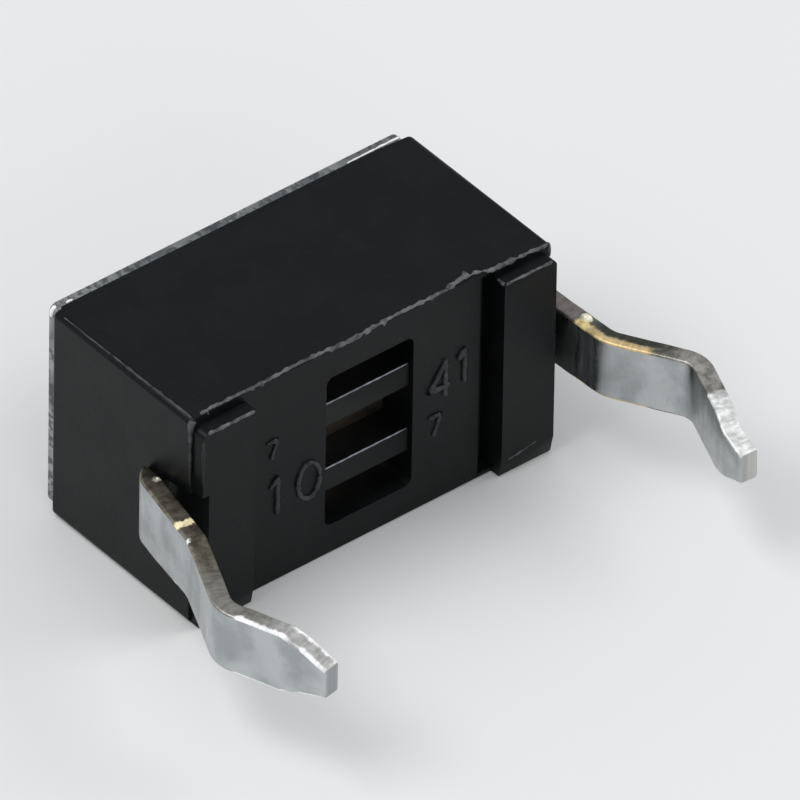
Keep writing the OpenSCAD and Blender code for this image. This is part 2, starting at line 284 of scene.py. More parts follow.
metalLooks = {
    "tinnedBrass": {"clean": (0.52, 0.545, 0.55), "smudged": (0.37, 0.395, 0.40), "pit": (0.27, 0.28, 0.28),
                    "stretch": (1.0, 1.0, 0.12), "streakScale": 7000.0, "bump": 0.4,
                    "roughLow": 0.22, "roughHigh": 0.4},
    # dull brass for the strip inside the housing, darker than the leads partly as painted shade for the deep
    # window pockets
    "stripBrass": {"clean": (0.42, 0.36, 0.29), "smudged": (0.24, 0.20, 0.17), "pit": (0.12, 0.10, 0.09),
                   "stretch": (0.2, 1.0, 1.0), "streakScale": 8000.0, "bump": 0.3,
                   "roughLow": 0.35, "roughHigh": 0.5},
    "coverSheet": {"clean": (0.60, 0.61, 0.605), "smudged": (0.53, 0.54, 0.535), "pit": (0.42, 0.42, 0.41),
                   "stretch": (0.06, 1.0, 1.0), "streakScale": 9000.0, "bump": 0.6,
                   "roughLow": 0.26, "roughHigh": 0.4},
    "coverCut": {"clean": (0.42, 0.44, 0.435), "smudged": (0.19, 0.20, 0.205), "pit": (0.1, 0.11, 0.115),
                 "stretch": (1.0, 0.6, 1.0), "streakScale": 11000.0, "bump": 0.9, "streakTone": 0.8,
                 "roughLow": 0.35, "roughHigh": 0.6},
    # painted glint: cream-white with little metallic, so it shows as a bright highlight
    "brassPaintedGlint": {"clean": (1.0, 0.96, 0.76), "smudged": (1.0, 0.90, 0.58), "pit": (0.8, 0.65, 0.35),
                  "stretch": (1.0, 1.0, 1.0), "streakScale": 9000.0, "bump": 0.2, "metallic": 0.35,
                  "roughLow": 0.25, "roughHigh": 0.4},
    # painted glint: near-white with little metallic, so it shows as a bright highlight
    "whitePaintedGlint": {"clean": (1.0, 1.0, 0.99), "smudged": (0.95, 0.95, 0.94), "pit": (0.8, 0.8, 0.78),
                   "stretch": (1.0, 1.0, 1.0), "streakScale": 9000.0, "bump": 0.3, "metallic": 0.2,
                   "roughLow": 0.25, "roughHigh": 0.4},
    "domeSteel": {"clean": (0.7, 0.69, 0.66), "smudged": (0.6, 0.59, 0.56), "pit": (0.4, 0.4, 0.38),
                  "stretch": (1.0, 1.0, 1.0), "streakScale": 6000.0, "bump": 0.2,
                  "roughLow": 0.2, "roughHigh": 0.32},
}
metals = {name: metalMaterial(name, look) for name, look in metalLooks.items()}


def windowMask(tree, value, low, high, soft):
    # 1 between low and high, fading over soft on both sides
    rise = rangeNode(tree, value, low - soft, low + soft)
    fall = rangeNode(tree, value, high - soft, high + soft, toLow=1.0, toHigh=0.0)
    return mathNode(tree, "MULTIPLY", rise, fall)


# what both leads' cut edges share; along and across come from the leads' own vertex values
shearValues = {"sheetDepth": 0.28, "stretch": (1.0, 0.35, 1.0), "streakScale": 16.0, "patchScale": 5.0,
               "raggedScale": 9.0, "wander": 0.22, "acrossWander": 2.0, "acrossSoft": 0.08,
               "streakDark": 0.78, "streakLight": 1.08, "bump": 0.6, "relief": 0.008 * mm}


def shearedMaterial(name, look):
    # a cut edge: break lines across the sheet, and zones placed by the length along the lead in mm; most zones
    # are painted highlights and glints
    values = shearValues
    material, tree, skin = newMaterial(name)
    along = addNode(tree, "ShaderNodeAttribute", attribute_name="along").outputs["Fac"]
    across = addNode(tree, "ShaderNodeAttribute", attribute_name="across").outputs["Fac"]
    place = addNode(tree, "ShaderNodeCombineXYZ")
    tree.links.new(along, place.inputs["X"])
    tree.links.new(mathNode(tree, "MULTIPLY", across, values["sheetDepth"]), place.inputs["Y"])
    group = useGroup(tree, rolledMetal, stretch=values["stretch"], streakScale=values["streakScale"])
    tree.links.new(place.outputs["Vector"], group.inputs["Vector"])
    patches = noiseNode(tree, place.outputs["Vector"], values["patchScale"], roughness=0.65, distortion=0.6)
    ragged = noiseNode(tree, place.outputs["Vector"], values["raggedScale"], detail=3.0, roughness=0.6)
    wander = mathNode(tree, "MULTIPLY", mathNode(tree, "SUBTRACT", ragged.outputs["Fac"], 0.5),
                      values["wander"])
    alongRagged = mathNode(tree, "ADD", along, wander)
    acrossRagged = mathNode(tree, "ADD", across, mathNode(tree, "MULTIPLY", wander, values["acrossWander"]))
    colour = mixColour(tree, rangeNode(tree, patches.outputs["Fac"], 0.35, 0.65), look["dark"], look["light"])
    metallic = 1.0
    for zone in look["zones"]:
        mask = mathNode(tree, "MULTIPLY", windowMask(tree, alongRagged, *zone["along"], zone["soft"]),
                        windowMask(tree, acrossRagged, *zone["across"], values["acrossSoft"]))
        spread = rangeNode(tree, patches.outputs["Fac"], 0.3, 0.7, 1.0 - zone["patchy"], 1.0)
        mask = mathNode(tree, "MULTIPLY", mask, spread)
        colour = mixColour(tree, mask, colour, zone["colour"])
        if zone["frost"] > 0:
            # metal is made less of a mirror under a zone, so that the zone's painted colour, mostly a painted
            # highlight, shows in diffuse light too
            metallic = mathNode(tree, "SUBTRACT", metallic, mathNode(tree, "MULTIPLY", mask, zone["frost"]))
    streaks = rangeNode(tree, group.outputs["Streaks"], 0.35, 0.65, values["streakDark"], values["streakLight"])
    tint = addNode(tree, "ShaderNodeVectorMath", operation="SCALE")
    tree.links.new(colour, tint.inputs[0])
    tree.links.new(streaks, tint.inputs["Scale"])
    tree.links.new(tint.outputs[0], skin.inputs["Base Color"])
    tree.links.new(rangeNode(tree, group.outputs["Smudges"], 0.35, 0.65, *look["rough"]),
                   skin.inputs["Roughness"])
    bump = addNode(tree, "ShaderNodeBump")
    bump.inputs["Strength"].default_value = values["bump"]
    bump.inputs["Distance"].default_value = values["relief"]
    tree.links.new(mathNode(tree, "ADD", group.outputs["Streaks"], patches.outputs["Fac"]), bump.inputs["Height"])
    tree.links.new(bump.outputs["Normal"], skin.inputs["Normal"])
    tree.links.new(rangeNode(tree, metallic, 0.0, 1.0, smooth=False), skin.inputs["Metallic"])
    return material


# zones run along the lead in mm and across the sheet from 0 to 1; later ones lie over earlier ones. Most are
# painted light: white and golden painted highlights and glints, and lighter stretches painted where the light
# falls on the edge
shearedLooks = {
    "leftShearedPaintedGlints": {
        "dark": (0.165, 0.142, 0.108), "light": (0.33, 0.305, 0.245), "rough": (0.35, 0.6),
        "zones": [
            {"along": (3.0, 6.0), "across": (-1, 2), "soft": 0.5, "patchy": 0.3, "frost": 0.0,
             "colour": (0.42, 0.41, 0.38)},
            {"along": (4.3, 6.0), "across": (-1, 2), "soft": 0.25, "patchy": 0.35, "frost": 0.2,
             "colour": (0.62, 0.62, 0.60)},
            {"along": (1.785, 1.905), "across": (-1, 2), "soft": 0.02, "patchy": 0.0, "frost": 0.9,
             "colour": (1.0, 0.90, 0.56)},
            {"along": (0.80, 0.92), "across": (-1, 0.42), "soft": 0.03, "patchy": 0.1, "frost": 0.6,
             "colour": (0.85, 0.80, 0.70)},
            {"along": (3.87, 4.70), "across": (0.8, 2), "soft": 0.05, "patchy": 0.0, "frost": 0.9,
             "colour": (1.0, 1.0, 1.0)},
            {"along": (4.62, 5.5), "across": (-1, 0.2), "soft": 0.05, "patchy": 0.1, "frost": 0.8,
             "colour": (0.97, 0.97, 0.97)},
            {"along": (4.9, 5.5), "across": (0.8, 2), "soft": 0.05, "patchy": 0.1, "frost": 0.8,
             "colour": (0.95, 0.95, 0.95)},
            {"along": (2.19, 2.27), "across": (0.84, 2), "soft": 0.02, "patchy": 0.0, "frost": 0.9,
             "colour": (1.0, 1.0, 1.0)},
            {"along": (5.65, 9.0), "across": (-2, 3), "soft": 0.1, "patchy": 0.3, "frost": 0.2,
             "colour": (0.38, 0.40, 0.41)},
        ]},
    "rightShearedPaintedGlints": {
        "dark": (0.13, 0.13, 0.105), "light": (0.29, 0.285, 0.25), "rough": (0.32, 0.55),
        "zones": [
            {"along": (0.0, 1.8), "across": (-1, 2), "soft": 0.1, "patchy": 0.5, "frost": 0.2,
             "colour": (0.30, 0.265, 0.255)},
            {"along": (2.0, 3.1), "across": (0.5, 2), "soft": 0.12, "patchy": 0.2, "frost": 0.0,
             "colour": (0.07, 0.075, 0.055)},
            {"along": (3.3, 4.3), "across": (-1, 2), "soft": 0.15, "patchy": 0.6, "frost": 0.3,
             "colour": (0.48, 0.46, 0.43)},
            {"along": (4.3, 6.0), "across": (-1, 2), "soft": 0.06, "patchy": 0.45, "frost": 0.8,
             "colour": (0.98, 0.99, 0.98)},
            {"along": (1.95, 2.95), "across": (-1, 0.42), "soft": 0.08, "patchy": 0.3, "frost": 0.5,
             "colour": (0.80, 0.60, 0.30)},
            {"along": (1.76, 2.0), "across": (-1, 0.45), "soft": 0.03, "patchy": 0.1, "frost": 0.7,
             "colour": (0.95, 0.78, 0.36)},
            {"along": (5.65, 9.0), "across": (-2, 3), "soft": 0.1, "patchy": 0.5, "frost": 0.3,
             "colour": (0.34, 0.34, 0.32)},
        ]},
}
sheared = {name: shearedMaterial(name, look) for name, look in shearedLooks.items()}
print("switch: plastics and metals made")


copySizes = {"joinWithin": 2e-8, "flatAngle": 0.4, "edgeAngle": 28}  # metres and degrees


def cleanCopy(nodeName):
    # the solid's mesh with its split corners joined and its flat faces made whole
    copy = bmesh.new()
    copy.from_mesh(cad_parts[nodeName].data)
    bmesh.ops.remove_doubles(copy, verts=copy.verts, dist=copySizes["joinWithin"])
    bmesh.ops.dissolve_limit(copy, angle_limit=math.radians(copySizes["flatAngle"]),
                             verts=copy.verts, edges=copy.edges)
    return copy


def anyEdge(edge):
    return True


def bevelEdges(copy, width, segments, chosen=anyEdge, edgeSlot=None):
    # rounds the chosen edges; edgeSlot is the material of the rounded strips
    edges = [e for e in copy.edges if len(e.link_faces) == 2
             and e.calc_face_angle(0) > math.radians(copySizes["edgeAngle"]) and chosen(e)]
    made = bmesh.ops.bevel(copy, geom=edges, offset=width, offset_type="OFFSET", segments=segments,
                           profile=0.5, affect="EDGES", clamp_overlap=True)
    if edgeSlot is not None:
        for face in made["faces"]:
            face.material_index = edgeSlot


def pieceFrom(copy, name, body, nodeName, materials):
    mesh = bpy.data.meshes.new(name)
    copy.to_mesh(mesh)
    copy.free()
    for material in materials:
        mesh.materials.append(material)
    shadeSmooth(mesh)
    piece = newObject(name, mesh, body)
    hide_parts(nodeName)
    weightNormals(piece)
    return piece


housingSizes = {
    "edgeRound": 0.022 * mm, "footRound": 0.1 * mm, "cavityBack": -0.45 * mm, "cavityHalfWidth": 2.05 * mm,
    "cavityLow": 0.4 * mm, "cavityHigh": 3.1 * mm, "footTop": 3.3 * mm, "footOuter": (2.95 * mm, 3.07 * mm),
    "footFront": -1.4 * mm, "straightWithin": 0.001 * mm,
    "rimRound": 0.07 * mm, "rimOuter": 2.98 * mm, "rimFront": 1.47 * mm, "rimReach": 0.2 * mm,
}


def makeHousing():
    copy = cleanCopy("housing")
    size = housingSizes

    def inCavity(place):
        return (place.y > size["cavityBack"] and abs(place.x) < size["cavityHalfWidth"]
                and size["cavityLow"] < place.z < size["cavityHigh"])

    def outside(edge):
        # edges deep inside the cavity stay sharp, because nothing shows there
        return not all(inCavity(v.co) for v in edge.verts)

    def footCorner(edge):
        # the feet's upper outer corners, which run along the height of the foot
        a, b = (v.co for v in edge.verts)
        return (abs(a.x - b.x) + abs(a.z - b.z) < size["straightWithin"] and min(a.z, b.z) > size["footTop"]
                and size["footOuter"][0] < abs(a.x) < size["footOuter"][1]
                and max(a.y, b.y) < size["footFront"])

    def rimCorner(edge):
        # the rim at the two ends of the cover plate, with its corners but without its long sides
        a, b = (v.co for v in edge.verts)
        return (min(a.y, b.y) > size["rimFront"] and min(abs(a.x), abs(b.x)) > size["rimOuter"]
                and abs(a.x - b.x) < size["rimReach"])

    bevelEdges(copy, size["footRound"], segments=4, chosen=footCorner)
    bevelEdges(copy, size["rimRound"], segments=4, chosen=rimCorner)
    # the rounded outside edges take material 1, lighter plastic as a painted edge highlight
    bevelEdges(copy, size["edgeRound"], segments=2, chosen=outside, edgeSlot=1)
    return pieceFrom(copy, "housingShell", "base", "housing",
                     [plastics["housingPlastic"], plastics["paintedEdgeHighlight"]])


housingShell = makeHousing()
print("switch: housing", len(housingShell.data.polygons), "faces")

coverSizes = {"edgeRound": 0.02 * mm, "cutFacing": 0.5}


def makeCover():
    copy = cleanCopy("cover_plate")
    bevelEdges(copy, coverSizes["edgeRound"], segments=2)
    copy.normal_update()
    for face in copy.faces:
        if abs(face.normal.y) < coverSizes["cutFacing"]:  # the plate's cut edges face sideways
            face.material_index = 1
    pieceFrom(copy, "coverPlate", "base", "cover_plate",
              [metals["coverSheet"], metals["coverCut"]])


makeCover()

buttonSizes = {"edgeRound": 0.03 * mm}


def makeButton():
    copy = cleanCopy("button")
    bevelEdges(copy, buttonSizes["edgeRound"], segments=3)
    pieceFrom(copy, "pushButton", "button", "button", [plastics["buttonPlastic"]])


makeButton()


def makeDome():
    piece = pieceFrom(cleanCopy("contact_dome"), "contactDome", "base", "contact_dome",
                      [metals["domeSteel"]])
    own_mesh(piece)


makeDome()
print("switch: cover plate, button and dome")


# both leads' sheet and blade in mm; heights count from the board side
bladeSizes = {
    "wallMiddle": 2.545, "stripMiddle": 0.99, "rootX": 3.0, "thickness": 0.28, "bladeWidth": 0.96,
    "neckWidth": 0.54, "shoulder": 0.18, "tipWidth": 0.48, "taper": 0.7,
    "cornerRound": 0.035, "step": 0.05, "endMark": 0.5, "boardY": -1.695, "middleZ": 1.75,
    "flareStart": 0.55, "flareGrow": 0.25, "flareEnd": 2.3, "flareFade": 1.0,
    "sideWobble": 0.012, "sideRate": 2.1, "dent": 0.006, "dentRate": 1.3, "dentRateWide": 1.5,
    "tipInset": 0.02, "tipStep": 0.012, "joinPast": 0.06,
}
# each bend is its turn in degrees, its radius and the straight after it; flare widens the lower side
leftBends = {"side": -1, "flare": 0.08,
             "bends": [(-77.7, 0.31, 1.25), (12.2, 0.57, 1.21), (-44.5, 0.45, 1.02), (9.5, 0.43, 0.45)]}
rightBends = {"side": 1, "flare": 0.0,
              "bends": [(-87.5, 0.37, 1.13), (28, 0.57, 0.95), (-52.5, 0.45, 1.14), (18, 0.43, 0.32)]}


def leadPath(bends):
    # points along the middle of the sheet, each (x, height, heading, length so far), in mm
    size = bladeSizes
    x, z, heading, run = size["wallMiddle"], size["stripMiddle"], 0.0, 0.0
    path = [(x, z, heading, run)]

    def goStraight(length):
        nonlocal x, z, run
        count = max(1, round(length / size["step"]))
        for _ in range(count):
            x += length / count * math.cos(heading)
            z += length / count * math.sin(heading)
            run += length / count
            path.append((x, z, heading, run))

    goStraight(size["rootX"] - size["wallMiddle"])
    for turn, radius, after in bends:
        side = math.copysign(1, turn)
        middle = (x - side * radius * math.sin(heading), z + side * radius * math.cos(heading))
        count = max(4, round(abs(math.radians(turn)) * radius / (size["step"] * 0.6)))
        start = heading
        for k in range(1, count + 1):
            heading = start + math.radians(turn) * k / count
            x = middle[0] + side * radius * math.sin(heading)
            z = middle[1] - side * radius * math.cos(heading)
            run += abs(math.radians(turn)) * radius / count
            path.append((x, z, heading, run))
        goStraight(after)
    return path


def bladeHalfWidth(x, z, tipZ):
    size = bladeSizes
    grow = min(1.0, max(0.0, (x - size["rootX"]) / size["shoulder"]))
    byNeck = size["neckWidth"] / 2 + grow * (size["bladeWidth"] - size["neckWidth"]) / 2
    narrow = min(1.0, max(0.0, (tipZ + size["taper"] - z) / size["taper"]))
    byTip = size["bladeWidth"] / 2 - narrow * (size["bladeWidth"] - size["tipWidth"]) / 2
    return min(byNeck, byTip)


def sectionPoints(halfThick, halfWide):
    # round the blade: (across the sheet, across the width), from the first corner on
    r = bladeSizes["cornerRound"]
    points = []
    for cornerT, cornerW, start in ((1, 1, 0), (-1, 1, 90), (-1, -1, 180), (1, -1, 270)):
        for k in range(5):
            a = math.radians(start + 90 * k / 4)
            points.append((cornerT * (halfThick - r) + r * math.cos(a),
                           cornerW * (halfWide - r) + r * math.sin(a)))
    return points


def flareAt(spec, run):
    # how much wider the lower side is at this length along the lead
    size = bladeSizes
    grow = min(1.0, max(0.0, (run - size["flareStart"]) / size["flareGrow"]))
    fade = min(1.0, max(0.0, (size["flareEnd"] - run) / size["flareFade"]))
    return spec["flare"] * grow * fade


def leadShell(bm, spec, seed):
    size = bladeSizes
    path = leadPath(spec["bends"])
    tipZ = path[-1][1]
    side = spec["side"]
    section = sectionPoints(size["thickness"] / 2, 1.0)
    lengthLayer = bm.verts.layers.float.new("along")
    acrossLayer = bm.verts.layers.float.new("across")

    def newVert(x, z, wide, run, t):
        place = Vector((side * x, z + size["boardY"], size["middleZ"] + wide)) * mm
        vert = bm.verts.new(place)
        vert[lengthLayer] = run
        vert[acrossLayer] = t / size["thickness"] + 0.5
        return vert

    rings = []
    for x, z, heading, run in path:
        n = Vector((-math.sin(heading), math.cos(heading)))
        ring = []
        for t, w in section:
            vx, vz = x + n.x * t, z + n.y * t
            wide = w - math.copysign(1.0 - bladeHalfWidth(vx, vz, tipZ), w)
            if w < 0:
                wide -= flareAt(spec, run)
            wobble = noise.noise(Vector((run * size["sideRate"], seed + 3.0 * (w > 0), 0.0)))
            if abs(w) > 0.9:
                wide += math.copysign(size["sideWobble"] * wobble, w)
            dent = size["dent"] * noise.noise(
                Vector((run * size["dentRate"], wide * size["dentRateWide"], seed)))
            ring.append(newVert(vx + n.x * dent, vz + n.y * dent, wide, run, t))
        rings.append(ring)
    # the tip's end is drawn in a little to round it, and endMark keeps the end face's own colour apart
    x, z, heading, run = path[-1]
    n = Vector((-math.sin(heading), math.cos(heading)))
    inset, step = size["tipInset"], size["tipStep"]
    ring = []
    for t, w in section:
        drawn = t - math.copysign(min(abs(t), inset), t)
        px = x + n.x * drawn + step * math.cos(heading)
        pz = z + n.y * drawn + step * math.sin(heading)
        wide = w - math.copysign(1.0 - bladeHalfWidth(px, pz, tipZ), w)
        wide -= math.copysign(inset, wide)
        ring.append(newVert(px, pz, wide, run + size["endMark"], t))
    rings.append(ring)
    for a, b in zip(rings, rings[1:]):
        for k in range(len(a)):
            quad = (a[k], a[(k + 1) % len(a)], b[(k + 1) % len(a)], b[k])
            face = bm.faces.new(quad if side > 0 else quad[::-1])
            face.material_index = 0 if k in (9, 19) else 1  # 9 and 19 are the two broad faces
    bm.faces.new(rings[0][::-1] if side > 0 else rings[0])
    tip = bm.faces.new(rings[-1] if side > 0 else rings[-1][::-1])
    tip.material_index = 1


def makeTerminal(name, nodeName, spec, seed, cutMaterial):
    # the strip inside the housing is the solid's own; the lead outside is bent anew from the same numbers
    inner = cleanCopy(nodeName)
    cut = spec["side"] * (bladeSizes["wallMiddle"] + bladeSizes["joinPast"]) * mm
    bmesh.ops.bisect_plane(inner, geom=inner.verts[:] + inner.edges[:] + inner.faces[:], dist=1e-9,
                           plane_co=(cut, 0, 0), plane_no=(spec["side"], 0, 0), clear_outer=True)
    bmesh.ops.holes_fill(inner, edges=[e for e in inner.edges if e.is_boundary], sides=0)
    for face in inner.faces:
        face.material_index = 2  # the strip; the lead's own faces take 0 and 1
    leadShell(inner, spec, seed)
    bmesh.ops.recalc_face_normals(inner, faces=inner.faces)
    return pieceFrom(inner, name, "base", nodeName,
                     [metals["tinnedBrass"], cutMaterial, metals["stripBrass"]])


leftTerminal = makeTerminal("leftTerminal", "terminal_left", leftBends, seed=4.0,
                            cutMaterial=sheared["leftShearedPaintedGlints"])
rightTerminal = makeTerminal("rightTerminal", "terminal_right", rightBends, seed=11.0,
                             cutMaterial=sheared["rightShearedPaintedGlints"])
print("switch: terminals", len(leftTerminal.data.polygons), len(rightTerminal.data.polygons), "faces")


# flash, painted highlight lines and glints, and raised numbers are ragged beads laid along the pieces' edges;
# rates count per step
beadSizes = {"sides": 8, "step": 0.035, "endShare": 0.45, "radiusRate": 0.37, "shiftRate": 0.21,
             "shift": 0.5, "bulge": 0.35, "bulgeRate": 0.6, "bulgeRateRound": 1.7}


def spreadPoints(points, step):
    # points along a broken line, at most a step apart
    spread = [Vector(points[0])]
    for a, b in zip(points, points[1:]):
        a, b = Vector(a), Vector(b)
        count = max(1, math.ceil((b - a).length / step))
        spread += [a.lerp(b, k / count) for k in range(1, count + 1)]
    return spread


def layBead(bm, points, radii, ragged, seed, slotIndex=0):
    # a bead through points in mm; its radius goes evenly from radii[0] to radii[1]
    size = beadSizes
    sides = size["sides"]
    line = spreadPoints(points, size["step"])
    last = len(line) - 1
    rings = []
    for i, point in enumerate(line):
        ahead = line[min(i + 1, last)] - line[max(i - 1, 0)]
        turn = ahead.to_track_quat("Z", "Y")
        radius = radii[0] + (radii[1] - radii[0]) * (i / last)
        radius *= 1.0 + ragged * noise.noise(Vector((i * size["radiusRate"], seed, 0.0)))
        radius *= size["endShare"] if i in (0, last) else 1.0
        shift = Vector((noise.noise(Vector((i * size["shiftRate"], seed, 5.0))),
                        noise.noise(Vector((i * size["shiftRate"], seed, 9.0))), 0.0))
        ring = []
        for k in range(sides):
            a = 2 * math.pi * k / sides
            lump = noise.noise(Vector((i * size["bulgeRate"], k * size["bulgeRateRound"], seed)))
            bulge = 1.0 + size["bulge"] * ragged * lump
            arm = Vector((math.cos(a), math.sin(a), 0.0)) * radius * bulge
            arm += shift * radius * size["shift"] * ragged
            ring.append(bm.verts.new((point + turn @ arm) * mm))
        rings.append(ring)
    for a, b in zip(rings, rings[1:]):
        for k in range(sides):
            face = bm.faces.new((a[k], a[(k + 1) % sides], b[(k + 1) % sides], b[k]))
            face.material_index = slotIndex
    for ring in (rings[0][::-1], rings[-1]):
        bm.faces.new(ring).material_index = slotIndex


def beadPiece(bm, name, materials):
    mesh = bpy.data.meshes.new(name)
    bm.to_mesh(mesh)
    bm.free()
    for material in materials:
        mesh.materials.append(material)
    shadeSmooth(mesh)
    newObject(name, mesh, "base")


def layLines(bm, lines, firstSeed, seedStep):
    for number, line in enumerate(lines.values()):
        layBead(bm, line["points"], line["radii"], line["ragged"], firstSeed + number * seedStep,
                line.get("material", 0))


# places in mm; material 0 is frayed flash and edge lines, lightened as a painted highlight, 1 a painted edge
# highlight, 2 a painted highlight on a thin edge and 3 a paler painted highlight
flashAndHighlightLines = {
    "upperBoardEdge": {"points": [(-2.87, -1.44, 3.485), (-2.8, -1.425, 3.49), (-2.37, -1.43, 3.49),
                                  (-1.87, -1.445, 3.49), (-1.16, -1.42, 3.49), (-0.35, -1.458, 3.488),
                                  (0.55, -1.425, 3.49), (1.05, -1.435, 3.49), (1.38, -1.43, 3.49)],
                       "radii": (0.031, 0.034), "ragged": 0.65, "material": 0},
    "wideBurr": {"points": [(1.34, -1.435, 3.488), (1.5, -1.395, 3.487), (1.66, -1.375, 3.485),
                            (1.84, -1.385, 3.486), (2.02, -1.43, 3.488)],
                 "radii": (0.036, 0.04), "ragged": 1.1, "material": 0},
    "upperBoardEdgeRight": {"points": [(1.98, -1.44, 3.488), (2.2, -1.472, 3.482), (2.75, -1.474, 3.476),
                                       (3.05, -1.474, 3.47)],
                            "radii": (0.030, 0.028), "ragged": 0.8, "material": 0},
    "rightEndCorner": {"points": [(3.02, -1.47, 3.468), (3.07, -1.466, 3.43), (3.084, -1.464, 3.34),
                                  (3.088, -1.462, 3.22)],
                       "radii": (0.036, 0.026), "ragged": 0.5, "material": 3},
    "cornerBlob": {"points": [(-2.9, -1.445, 3.475), (-2.83, -1.435, 3.48), (-2.76, -1.44, 3.48)],
                   "radii": (0.05, 0.042), "ragged": 0.7, "material": 0},
    "leftEndCorner": {"points": [(-3.03, -1.455, 3.465), (-3.06, -1.458, 3.4), (-3.07, -1.46, 3.3),
                                 (-3.074, -1.462, 3.1)],
                      "radii": (0.044, 0.028), "ragged": 0.6, "material": 3},
    "leftEndCornerLow": {"points": [(-3.08, -1.466, 3.16), (-3.082, -1.468, 2.7), (-3.082, -1.468, 2.35)],
                         "radii": (0.024, 0.012), "ragged": 0.8, "material": 1},
    "leftFootTop": {"points": [(-2.96, -1.688, 3.34), (-2.6, -1.688, 3.34), (-2.16, -1.688, 3.34)],
                    "radii": (0.026, 0.022), "ragged": 0.8, "material": 0},
    "leftFootCorner": {"points": [(-3.032, -1.685, 3.24), (-3.032, -1.685, 2.9), (-3.032, -1.685, 2.5)],
                       "radii": (0.024, 0.012), "ragged": 0.6, "material": 1},
    "rightFootTop": {"points": [(2.16, -1.688, 3.34), (2.6, -1.688, 3.34), (2.96, -1.688, 3.34)],
                     "radii": (0.022, 0.018), "ragged": 0.7, "material": 0},
    "rightFootInner": {"points": [(2.15, -1.5, 3.335), (2.148, -1.6, 3.335), (2.15, -1.685, 3.33)],
                       "radii": (0.02, 0.026), "ragged": 0.8, "material": 0},
    "rightFootLow": {"points": [(2.25, -1.688, 0.27), (2.5, -1.69, 0.31), (2.74, -1.688, 0.34)],
                     "radii": (0.016, 0.012), "ragged": 1.2, "material": 3},
    "endTopEdge": {"points": [(-3.025, -1.43, 3.484), (-3.03, -0.2, 3.482), (-3.035, 1.3, 3.48)],
                   "radii": (0.018, 0.013), "ragged": 0.5, "material": 3},
    "upperRib": {"points": [(-0.74, -1.37, 2.497), (0.0, -1.37, 2.497), (0.74, -1.37, 2.497)],
                 "radii": (0.012, 0.009), "ragged": 0.6, "material": 2},
    "lowerRib": {"points": [(-0.74, -1.37, 1.377), (0.0, -1.37, 1.377), (0.74, -1.37, 1.377)],
                 "radii": (0.012, 0.009), "ragged": 0.6, "material": 2},
}


def makeFlashAndHighlights():
    bm = bmesh.new()
    layLines(bm, flashAndHighlightLines, firstSeed=0.0, seedStep=7.3)
    beadPiece(bm, "mouldFlashAndPaintedHighlights",
              [plastics["flashWithPaintedHighlight"], plastics["paintedEdgeHighlight"], plastics["litEdge"], plastics["palePaintedHighlight"]])


makeFlashAndHighlights()

# painted glints: near-white beads on the cover plate's cut edge that stand in for highlights, in mm
coverGlintLines = {
    "seamGlint": {"points": [(2.03, 1.53, 3.456), (2.5, 1.53, 3.458), (2.93, 1.53, 3.458)],
                 "radii": (0.013, 0.019), "ragged": 0.4},
    "seamSpot": {"points": [(-2.80, 1.535, 3.455), (-2.74, 1.535, 3.46), (-2.68, 1.535, 3.455)],
                 "radii": (0.022, 0.018), "ragged": 0.4},
    "cornerGlint": {"points": [(-2.992, 1.6, 3.27), (-2.985, 1.6, 3.34), (-2.965, 1.595, 3.395),
                              (-2.925, 1.59, 3.43)],
                   "radii": (0.03, 0.042), "ragged": 0.3},
}


def makeCoverGlints():
    bm = bmesh.new()
    layLines(bm, coverGlintLines, firstSeed=60.0, seedStep=5.1)
    beadPiece(bm, "coverPaintedGlints", [metals["whitePaintedGlint"]])


makeCoverGlints()

# painted glints: small cream-white beads on the leads' upper cut edges that stand in for highlights, in mm
leadGlintLines = {
    "leftKink": {"points": [(-3.69, -2.17, 2.21), (-3.70, -2.2, 2.215), (-3.705, -2.225, 2.21)],
                 "radii": (0.024, 0.02), "ragged": 0.3},
    "leftRoot": {"points": [(-3.195, -0.92, 2.22), (-3.21, -0.94, 2.222), (-3.222, -0.96, 2.22)],
                 "radii": (0.026, 0.022), "ragged": 0.3},
    "rightDrop": {"points": [(3.375, -1.905, 2.21), (3.415, -1.88, 2.222), (3.455, -1.855, 2.215)],
                  "radii": (0.085, 0.085), "ragged": 0.2},
}


def makeLeadGlints():
    bm = bmesh.new()
    layLines(bm, leadGlintLines, firstSeed=130.0, seedStep=4.7)
    beadPiece(bm, "leadPaintedGlints", [metals["brassPaintedGlint"]])


makeLeadGlints()


def ovalPoints(middle, radii, count):
    angles = [math.radians(360 * k / count) for k in range(count + 1)]
    return [(middle[0] + radii[0] * math.cos(a), middle[1] + radii[1] * math.sin(a)) for a in angles]


# plain figures in a box one wide and 1.6 high
figureStrokes = {
    "0": [ovalPoints((0.5, 0.8), (0.48, 0.78), 16)],
    "1": [[(0.2, 1.25), (0.55, 1.6), (0.55, 0.0)]],
    "4": [[(0.75, 0.0), (0.75, 1.6), (0.0, 0.5), (1.0, 0.5)]],
    "7": [[(0.0, 1.6), (1.0, 1.6), (0.4, 0.0)]],
}
# each number's lower left corner and height in mm; gap is from figure to figure in widths
mouldNumbers = [
    {"text": "7", "place": (-1.78, 2.13), "height": 0.3, "gap": 1.4, "bead": 0.03},
    {"text": "10", "place": (-1.80, 1.14), "height": 0.62, "gap": 1.45, "bead": 0.04},
    {"text": "4", "place": (1.02, 1.72), "height": 0.6, "gap": 1.4, "bead": 0.042},
    {"text": "1", "place": (1.44, 1.80), "height": 0.56, "gap": 1.4, "bead": 0.042},
    {"text": "7", "place": (1.02, 1.12), "height": 0.34, "gap": 1.4, "bead": 0.032},
]
numberSizes = {"boardFaceY": -1.475, "proud": 0.006, "boxHeight": 1.6, "ragged": 0.35,
               "firstSeed": 90.0, "seedStep": 3.7}


